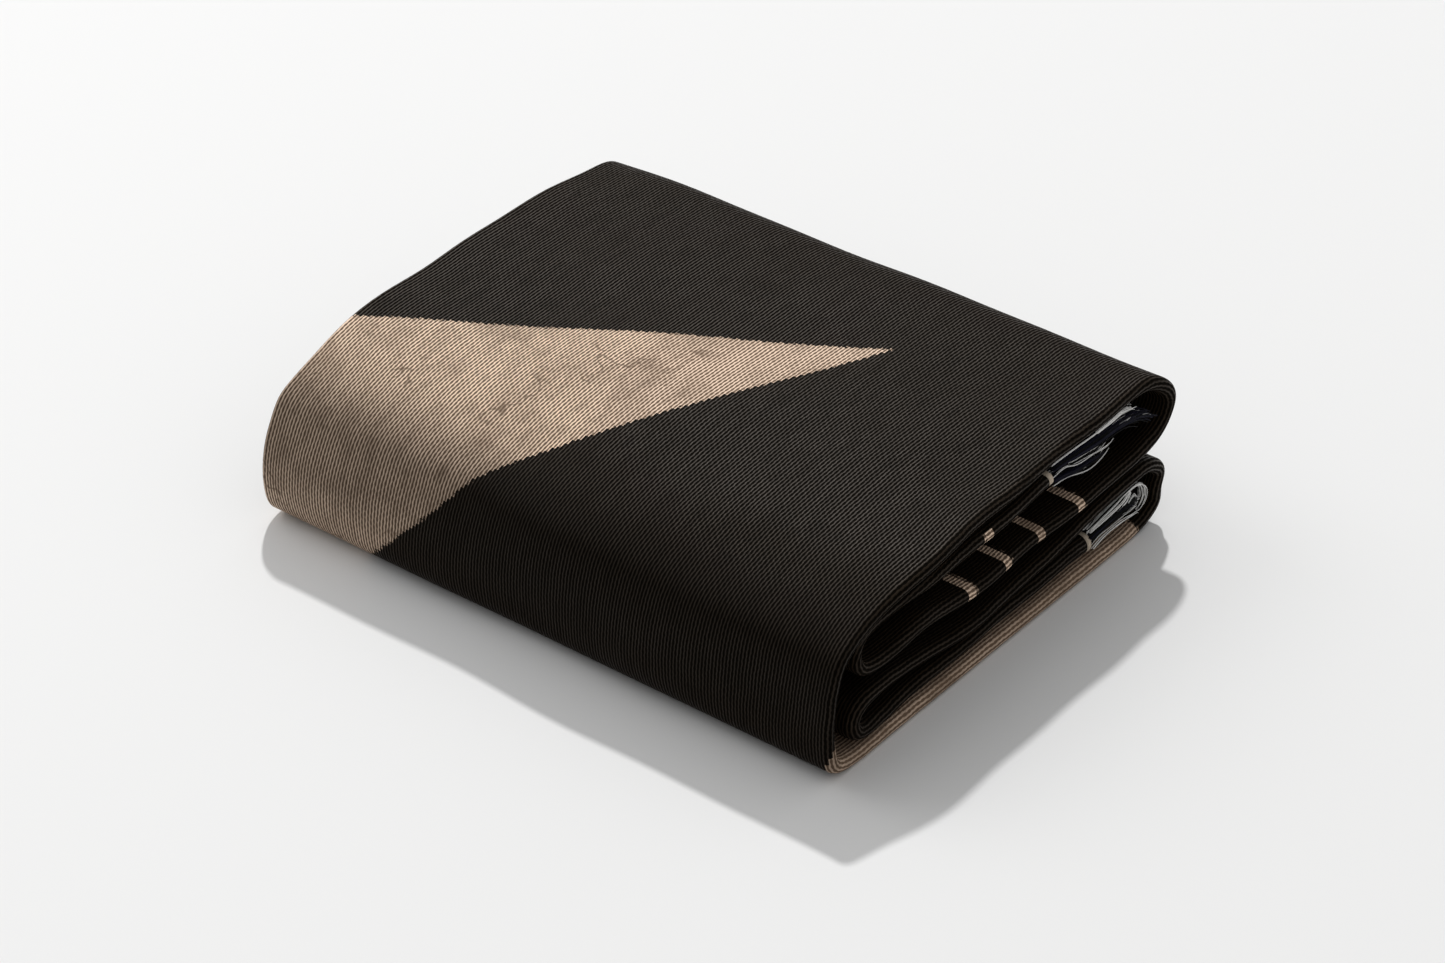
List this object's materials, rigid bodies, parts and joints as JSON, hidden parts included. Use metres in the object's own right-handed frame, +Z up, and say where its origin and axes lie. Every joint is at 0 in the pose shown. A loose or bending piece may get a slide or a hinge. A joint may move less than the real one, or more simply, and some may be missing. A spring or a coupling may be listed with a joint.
{
  "type": "folded woven throw blanket",
  "caption": "Woven throw blanket with fringed ends, folded in thirds, its ends tucked in, and closed like a book into a flat stack.",
  "frame": {"origin": "middle of the underside, on the surface that the folded blanket rests on", "axes": "+X along the long front fold, towards the end that shows the layers; +Y towards the two big back folds; +Z up"},
  "size_m": [0.4666, 0.38, 0.1194],
  "materials": {
    "cloth": "ribbed cotton weave, near-black brown with one plain parchment-coloured field",
    "yarn": "loose cotton yarn ends, off-white and near-black"
  },
  "bodies": {
    "root": {"blanket": "cloth", "fringe_upper": "yarn", "fringe_lower": "yarn"}
  },
  "joints": []
}
